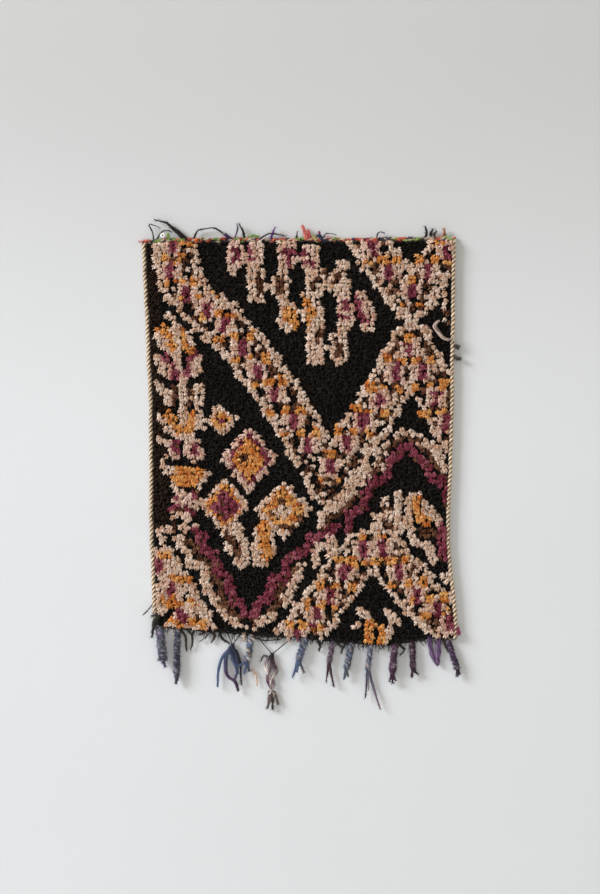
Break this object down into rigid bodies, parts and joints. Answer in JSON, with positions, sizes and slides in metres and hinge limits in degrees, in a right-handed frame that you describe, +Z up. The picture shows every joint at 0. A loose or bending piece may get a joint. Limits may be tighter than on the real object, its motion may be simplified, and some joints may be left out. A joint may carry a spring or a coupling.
{
  "type": "rug with hanging pin",
  "caption": "Small hand-knotted wool rug with a shaggy pile, overcast sides, a twined heading and tasselled hem, hung flat from one pin.",
  "frame": {"origin": "middle of the top edge, on the flat back plane", "axes": "+Z up along the hanging rug's length, +Y towards the wall behind it, -Y towards the viewer, +X to the viewer's right"},
  "size_m": [0.6106, 0.0209, 0.9315],
  "materials": {
    "pile_wool": "shaggy knotted wool pile, black ground with cream, orange, magenta and brown motifs",
    "overcast_wool": "two-ply overcast cord in cream and dark brown",
    "heading_yarn": "twined wool in coral, green, cream and dark blue",
    "tassel_yarn": "plaited wool in slate blue, purple and dark red",
    "pin_plastic": "moulded white plastic head"
  },
  "bodies": {
    "root": {"rug_field": "pile_wool", "selvedge_left": "overcast_wool", "selvedge_right": "overcast_wool", "head_braid": "heading_yarn", "fringe": "tassel_yarn", "hanging_pin": "pin_plastic"}
  },
  "joints": []
}
